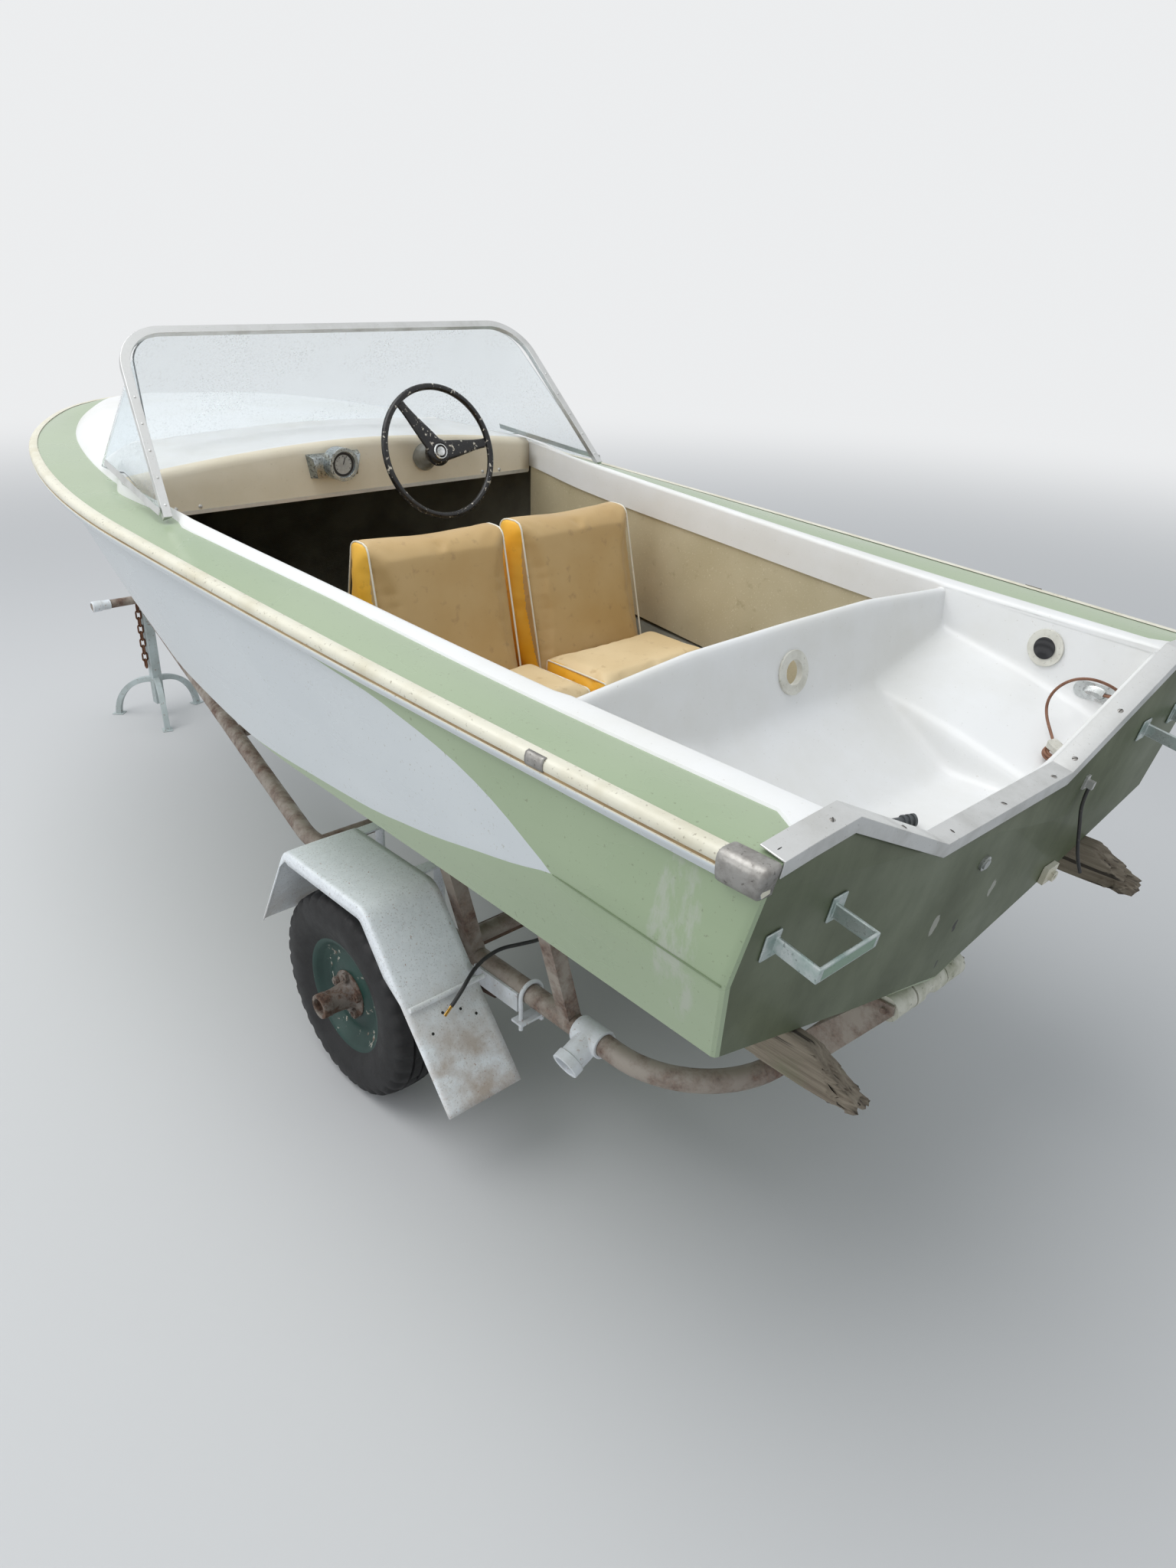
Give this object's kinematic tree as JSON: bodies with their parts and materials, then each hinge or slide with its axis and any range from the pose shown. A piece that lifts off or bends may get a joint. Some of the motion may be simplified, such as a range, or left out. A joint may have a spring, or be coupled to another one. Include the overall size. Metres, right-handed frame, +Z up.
{
  "type": "speedboat on trailer",
  "caption": "Small open fibreglass runabout with wrapped windscreen, back-to-back seats and helm, on a pipe-framed road trailer with a front stand.",
  "frame": {"origin": "middle of the whole outfit's bounding box, on the floor", "axes": "+X towards the bow and the trailer's nose, +Y to port, +Z up"},
  "size_m": [3.9935, 1.54, 1.6446],
  "materials": {
    "aluminium_trim": "dull",
    "axle_steel": "rusty",
    "boss_black": "gloss",
    "bunk_timber": "weathered",
    "cable_black": "matte",
    "chain_iron": "rusty",
    "chassis_paint": "rusty",
    "chrome_trim": "pitted",
    "clamp_zinc": "dull",
    "dial_black": "gloss",
    "ferrule_brass": "polished",
    "flex_brown": "matte",
    "gelcoat_cream": "weathered gloss",
    "gelcoat_green": "weathered gloss",
    "grommet_grey": "matte",
    "grommet_white": "matte",
    "guard_paint": "weathered",
    "panel_tan": "grained",
    "plug_cream": "matte",
    "rail_white": "satin",
    "rim_paint": "weathered",
    "roller_nylon": "matte",
    "screen_pane": "clear",
    "seat_base": "satin",
    "seat_vinyl": "satin",
    "spring_steel": "rusty",
    "stand_paint": "weathered",
    "tyre_rubber": "matte",
    "wheel_rim": "gloss"
  },
  "bodies": {
    "boat_and_trailer": {"axle_beam": "axle_steel", "bunk_posts": "chassis_paint", "bunks": "bunk_timber", "cable_clip": "clamp_zinc", "cable_ferrules": "ferrule_brass", "chassis_frame": "chassis_paint", "clamshell_vent": "chrome_trim", "cockpit_floor": "gelcoat_cream", "deck_moulding": "gelcoat_cream", "drain_tube": "cable_black", "flex_coil": "flex_brown", "flex_plug": "plug_cream", "front_stand": "stand_paint", "gauge_dial": "dial_black", "gauge_housing": "chrome_trim", "guard_stays": "guard_paint", "hull_shell": "gelcoat_green", "keel_chock": "bunk_timber", "leaf_springs": "spring_steel", "motor_well": "gelcoat_cream", "mudguard_port": "guard_paint", "mudguard_starboard": "guard_paint", "nose_bar_sockets": "clamp_zinc", "rail_clamps": "clamp_zinc", "rail_end_caps": "aluminium_trim", "rail_tee_clamps": "clamp_zinc", "roller_bracket": "chassis_paint", "rub_rail": "rail_white", "safety_chain": "chain_iron", "seat_back_port": "seat_vinyl", "seat_back_starboard": "seat_vinyl", "seat_base_port": "seat_base", "seat_base_starboard": "seat_base", "seat_cushion_aft_port": "seat_vinyl", "seat_cushion_aft_starboard": "seat_vinyl", "seat_cushion_forward_port": "seat_vinyl", "seat_cushion_forward_starboard": "seat_vinyl", "side_grommet": "grommet_white", "side_panels": "panel_tan", "spring_hangers": "axle_steel", "steering_boss": "boss_black", "trailer_cable": "cable_black", "transom_bung": "chrome_trim", "transom_capping": "aluminium_trim", "transom_fitting": "aluminium_trim", "transom_handle_port": "chrome_trim", "transom_handle_starboard": "chrome_trim", "tube_eye": "aluminium_trim", "well_elbow": "grommet_grey", "well_flex": "flex_brown", "well_grommet": "grommet_white", "windscreen_frame": "aluminium_trim", "windscreen_pane": "screen_pane"},
    "wheel_port": {"tyre_port": "tyre_rubber", "rim_port": "rim_paint"},
    "wheel_starboard": {"tyre_starboard": "tyre_rubber", "rim_starboard": "rim_paint"},
    "steering": {"steering_wheel": "wheel_rim"},
    "roller": {"keel_roller": "roller_nylon"}
  },
  "joints": [
    {"name": "wheel_port_spin", "type": "hinge", "parent": "boat_and_trailer", "child": "wheel_port", "pos_m": [-0.722, 0.585, 0.2525], "axis": [0, 1, 0], "continuous": true},
    {"name": "wheel_starboard_spin", "type": "hinge", "parent": "boat_and_trailer", "child": "wheel_starboard", "pos_m": [-0.722, -0.585, 0.2525], "axis": [0, 1, 0], "continuous": true},
    {"name": "steering_turn", "type": "hinge", "parent": "boat_and_trailer", "child": "steering", "pos_m": [0.06, -0.24, 1.304], "axis": [-0.9563, 0, 0.2924], "range_deg": [-540, 540]},
    {"name": "keel_roller_spin", "type": "hinge", "parent": "boat_and_trailer", "child": "roller", "pos_m": [-1.797, 0, 0.57198], "axis": [0, 1, 0], "continuous": true}
  ]
}
